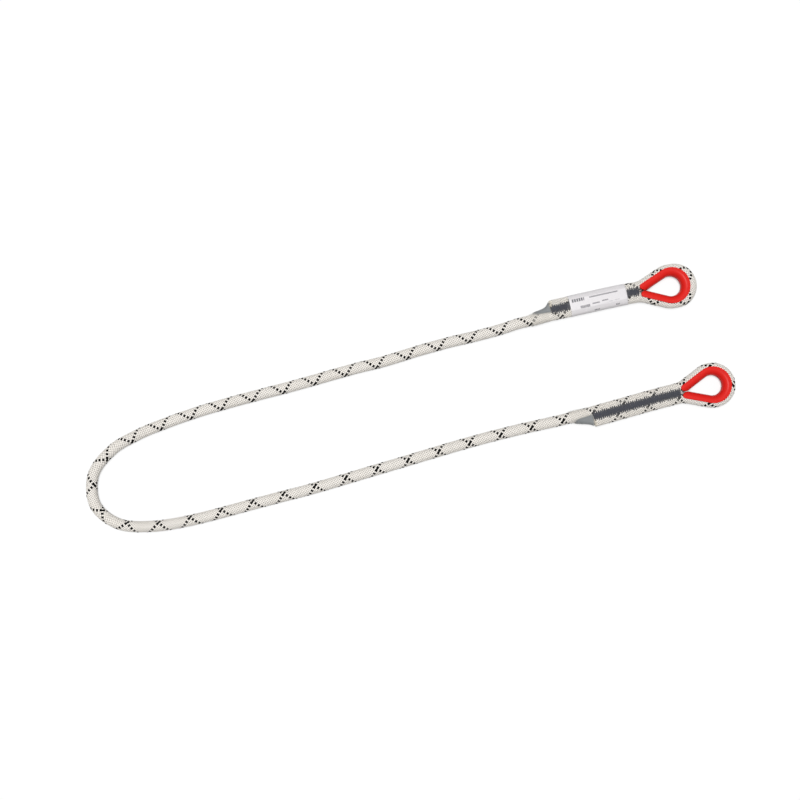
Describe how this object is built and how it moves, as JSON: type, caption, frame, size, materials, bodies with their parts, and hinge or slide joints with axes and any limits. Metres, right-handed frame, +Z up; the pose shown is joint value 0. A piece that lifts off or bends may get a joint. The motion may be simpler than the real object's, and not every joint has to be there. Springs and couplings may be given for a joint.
{
  "type": "restraint lanyard",
  "caption": "Kernmantle rope lanyard lying in a U, with a sewn eye, plastic thimble and clear shrink sleeve at each end and a plain label under one sleeve.",
  "frame": {"origin": "on the floor, under the middle of the whole lanyard's outline as it lies in its U", "axes": "+X from the U's bend towards the two eyes, +Y towards the labelled eye's side, +Z up"},
  "size_m": [0.7362, 0.17, 0.0162],
  "materials": {
    "rope_sheath": "braided polyamide yarn, off-white, with black tracer yarns",
    "rope_core": "twisted filament strands, white",
    "thimble_red": "moulded, glossy",
    "sewing_thread": "twisted thread, blue-grey, satin",
    "shrink_film": "clear, slightly grey, glossy",
    "label_film": "plain off-white, smooth"
  },
  "bodies": {
    "root": {"rope_sheath_free_stretch": "rope_sheath", "rope_core_free_stretch": "rope_core", "rope_sheath_upper_eye": "rope_sheath", "rope_core_upper_eye": "rope_core", "rope_sheath_lower_eye": "rope_sheath", "rope_core_lower_eye": "rope_core", "thimble_upper": "thimble_red", "thimble_lower": "thimble_red", "needle_thread_upper": "sewing_thread", "bobbin_thread_upper": "sewing_thread", "needle_thread_lower": "sewing_thread", "bobbin_thread_lower": "sewing_thread", "shrink_sleeve_upper": "shrink_film", "shrink_sleeve_lower": "shrink_film", "identification_label": "label_film"}
  },
  "joints": []
}
